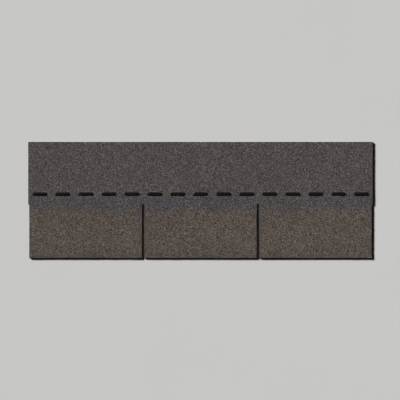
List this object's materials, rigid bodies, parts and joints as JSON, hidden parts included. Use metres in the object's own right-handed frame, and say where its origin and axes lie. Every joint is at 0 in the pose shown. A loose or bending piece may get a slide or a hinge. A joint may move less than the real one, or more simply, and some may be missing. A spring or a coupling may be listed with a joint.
{
  "type": "three-tab asphalt shingle",
  "caption": "Strip shingle of granule-faced asphalt, its lower half parted into tabs by cut-outs, for lapped courses on a pitched roof.",
  "frame": {"origin": "middle of the back, which lies on the roof deck", "axes": "+X along the strip, +Y up the roof slope from the butt edge to the top edge, +Z out of the granule face"},
  "size_m": [1, 0.337, 0.004],
  "materials": {
    "granule_face": "matte",
    "sealant": "satin",
    "film": "gloss"
  },
  "bodies": {
    "root": {"three_tab_strip": "granule_face", "sealant_dashes": "sealant", "release_film": "film"}
  },
  "joints": []
}
